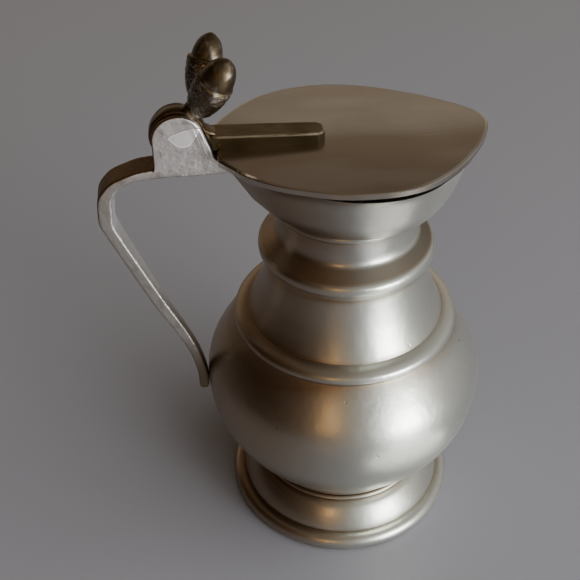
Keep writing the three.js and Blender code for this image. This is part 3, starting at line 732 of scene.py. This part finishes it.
# Painted glints fleck both cups' pebbles; the rest of the lighter tone is worn tarnish.
painted_glints = cup * pebbles.between(0.5, 0.62) * smudges.between(0.35, 0.6)
wear_and_glints = (crust * 0.6 + smudges * 0.6).between(0.6, 0.85) * 0.6 + painted_glints * 0.45 + painted_highlight * 0.9
tarnished.wears(
    Base_Color=tarnished.mix(wear_and_glints, acorn_dark, acorn_wear_and_glint),
    Roughness=0.32 + 0.2 * smudges - 0.15 * cup,
    Normal=tarnished.bump(crust * 0.8 + smudges * 0.5 + cup * pebbles * 0.5, 0.25 * MM),
)
stem_ahead, stem_up = 6.3, 9.6
nut_start, cup_top, acorns_apart = 9.6, 12.3, 4.2
stands = []


def acorn(name, ahead, rise, lean, splay, plump):
    """One acorn: its cup and its nut turned apart, then leant over."""
    cup_section = smooth([
        (0, 0.4, 0), (2.2, 0.7, 0), (3.6, 2.3, 0), (4.45, 4.7, 0), (5.0, 7.8, 0), (5.2, 10.8, 0),
        (5.15, 11.8, 0), (4.9, 12.2, 0), (3.6, cup_top, 0)], 4)
    nut_section = smooth([
        (3.8, nut_start, 0), (4.2, 11.2, 0), (4.15, 13.1, 0), (3.7, 15.1, 0), (2.75, 17.1, 0),
        (1.3, 18.4, 0), (0.5, 18.8, 0), (0, 18.95, 0)], 4)
    nut_section = [(p[0] * plump, nut_start + (p[1] - nut_start) * plump, 0) for p in nut_section]
    cup = turned(name + "_cup", [*cup_section, (0, cup_top, 0)], tarnished, flats=48)
    nut = turned(name + "_nut", [(0, nut_start, 0), *nut_section], tarnished, flats=48)
    across = -acorns_apart / 2 if splay > 0 else acorns_apart / 2
    stand = (Matrix.Translation(Vector((hinge_x + ahead, across, hinge_z + rise)) * MM)
             @ Matrix.Rotation(radians(splay), 4, "X") @ Matrix.Rotation(radians(lean), 4, "Y"))
    for shell in (cup, nut):
        shell.data.transform(stand)
    stands.append(stand.inverted())
    return cup, nut


stem_length = hypot(stem_ahead, stem_up)
stem_section = [(0, 0, 0), (3.0, 0, 0), (2.6, 7.4, 0), (2.1, stem_length, 0), (0, stem_length, 0)]
stem = turned("stem", stem_section, tarnished, flats=48)
stem.data.transform(Matrix.Translation(Vector((hinge_x, 0, hinge_z)) * MM)
                    @ Matrix.Rotation(atan2(stem_ahead, stem_up), 4, "Y"))
far_acorn = acorn("far_acorn", ahead=6.3, rise=7.7, lean=15, splay=-15.5, plump=1)
near_acorn = acorn("near_acorn", ahead=5.4, rise=6.9, lean=28, splay=16, plump=1.1)
shells = [stem, *far_acorn, *near_acorn]
thumbpiece = cast_whole(joined("twin_acorns", tarnished, *shells), detail=0.2, rounds=2)
cup_reach, cup_low, cup_high = 5.5 * MM, 0.5 * MM, 11.6 * MM
pebble_size, pebble_rise = 1.25 * MM, 0.13 * MM
on_cup, pebbled = [], []
for corner in thumbpiece.data.vertices:
    places = [stand @ corner.co for stand in stands]
    on_cup.append(float(any(hypot(p.x, p.y) < cup_reach and cup_low < p.z < cup_high for p in places)))
    off_pebble = noise.voronoi(corner.co / pebble_size)[0][0]
    rise = on_cup[-1] * pebble_rise * (max(0, 1 - off_pebble * off_pebble * 3) - 0.5)
    pebbled.extend(corner.co + corner.normal * rise)
thumbpiece.data.vertices.foreach_set("co", pebbled)
cups = thumbpiece.data.attributes.new("cup", "FLOAT", "POINT")
cups.data.foreach_set("value", on_cup)
fitted(thumbpiece, "lid", "tarnished_pewter", "thumbpiece")

# The table: one wide, smooth top painted a greyish lilac with a soft gloss. It carries the pitcher and
# isn't part of it.
table_lilac, table_half = (0.238, 0.242, 0.27), 4
table_finish = Finish("table_top")
table_finish.wears(Metallic=0, Roughness=0.42, Specular_IOR_Level=0.7, Base_Color=table_lilac)
table_mesh = bpy.data.meshes.new("table_top")
table_corners = [(x * table_half, y * table_half, 0) for x, y in ((-1, -1), (1, -1), (1, 1), (-1, 1))]
table_mesh.from_pydata(table_corners, [], [(0, 1, 2, 3)])
table_mesh.materials.append(table_finish.material)
table = bpy.data.objects.new("table_top", table_mesh)
bpy.context.collection.objects.link(table)

# Light: a soft window to the right of the camera, two small warm lamps, and a room that is pale on the
# spout's side and dim brown behind the handle. A small bright card, hidden from the camera, lies on the
# table before the pitcher, and a fill that the metal doesn't mirror lights the table.
lit_height = 0.08


def lamp(name, azimuth, elevation, away, width, height, power, colour):
    """A soft lamp at so many degrees round from the spout and up, turned to the pitcher's middle."""
    data = bpy.data.lights.new(name, "AREA")
    data.shape = "RECTANGLE"
    data.size, data.size_y = width, height
    data.energy, data.color = power, colour
    source = bpy.data.objects.new(name, data)
    a, e = radians(azimuth), radians(elevation)
    aim = Vector((0, 0, lit_height))
    place = aim + Vector((cos(a) * cos(e), sin(a) * cos(e), sin(e))) * away
    source.location = place
    source.rotation_euler = (place - aim).to_track_quat("Z", "Y").to_euler()
    bpy.context.collection.objects.link(source)
    return source


lamp("window", -50, 4, 0.9, 0.36, 0.22, 7.6, (0.96, 0.99, 1.0))
lamp("warm_lamp", -108, 17, 1.5, 0.045, 0.05, 0.85, (1.0, 0.54, 0.19))
lamp("warm_lamp_right", -26, 18, 1.5, 0.06, 0.08, 0.5, (1.0, 0.76, 0.46))
lamp("pale_wall", -42, 60, 1.2, 0.6, 0.45, 0.3, (1.0, 0.98, 0.94))
card = lamp("bounce_card", -55, -30, 0.156, 0.08, 0.13, 0.056, (1.0, 0.99, 0.96))
card.rotation_euler = (pi, 0, radians(35))
card.visible_camera = False
soft_fill = lamp("ceiling", -40, 58, 1.5, 1.6, 1.6, 21, (1.0, 0.98, 0.97))
soft_fill.visible_glossy = False
room = bpy.data.worlds.new("room")
bpy.context.scene.world = room
room.use_nodes = True
walls = Nodes(room.node_tree)
seen = walls.add("ShaderNodeTexCoord", {}, {}, "Generated")
east, north, high = (walls.add("ShaderNodeSeparateXYZ", {}, {0: seen}, axis) for axis in range(3))
behind = east * -0.966 + north * 0.259
far_side = north.between(0.5, 0.75)
colour = (0.50, 0.485, 0.46)
for share, next_colour in (
        (behind.between(-0.95, -0.5), (0.36, 0.35, 0.33)),
        (behind.between(-0.5, 0), (0.26, 0.20, 0.145)),
        (behind.between(0, 0.5), (0.09, 0.06, 0.04)),
        (behind.between(0.5, 0.85), (0.035, 0.02, 0.01)),
        (far_side * high.between(0.51, 0.455), (0.42, 0.35, 0.27)),
        (far_side * high.between(0.5, 0.545), (0.13, 0.1, 0.075)),
        (high.between(0.75, 0.95), (0.19, 0.15, 0.11)),
        (walls.add("ShaderNodeLightPath", {}, {}, "Is Camera Ray"), (0.26, 0.265, 0.285))):
    colour = walls.mix(share, colour, next_colour)
walls.feed(room.node_tree.nodes["Background"].inputs["Color"], colour)
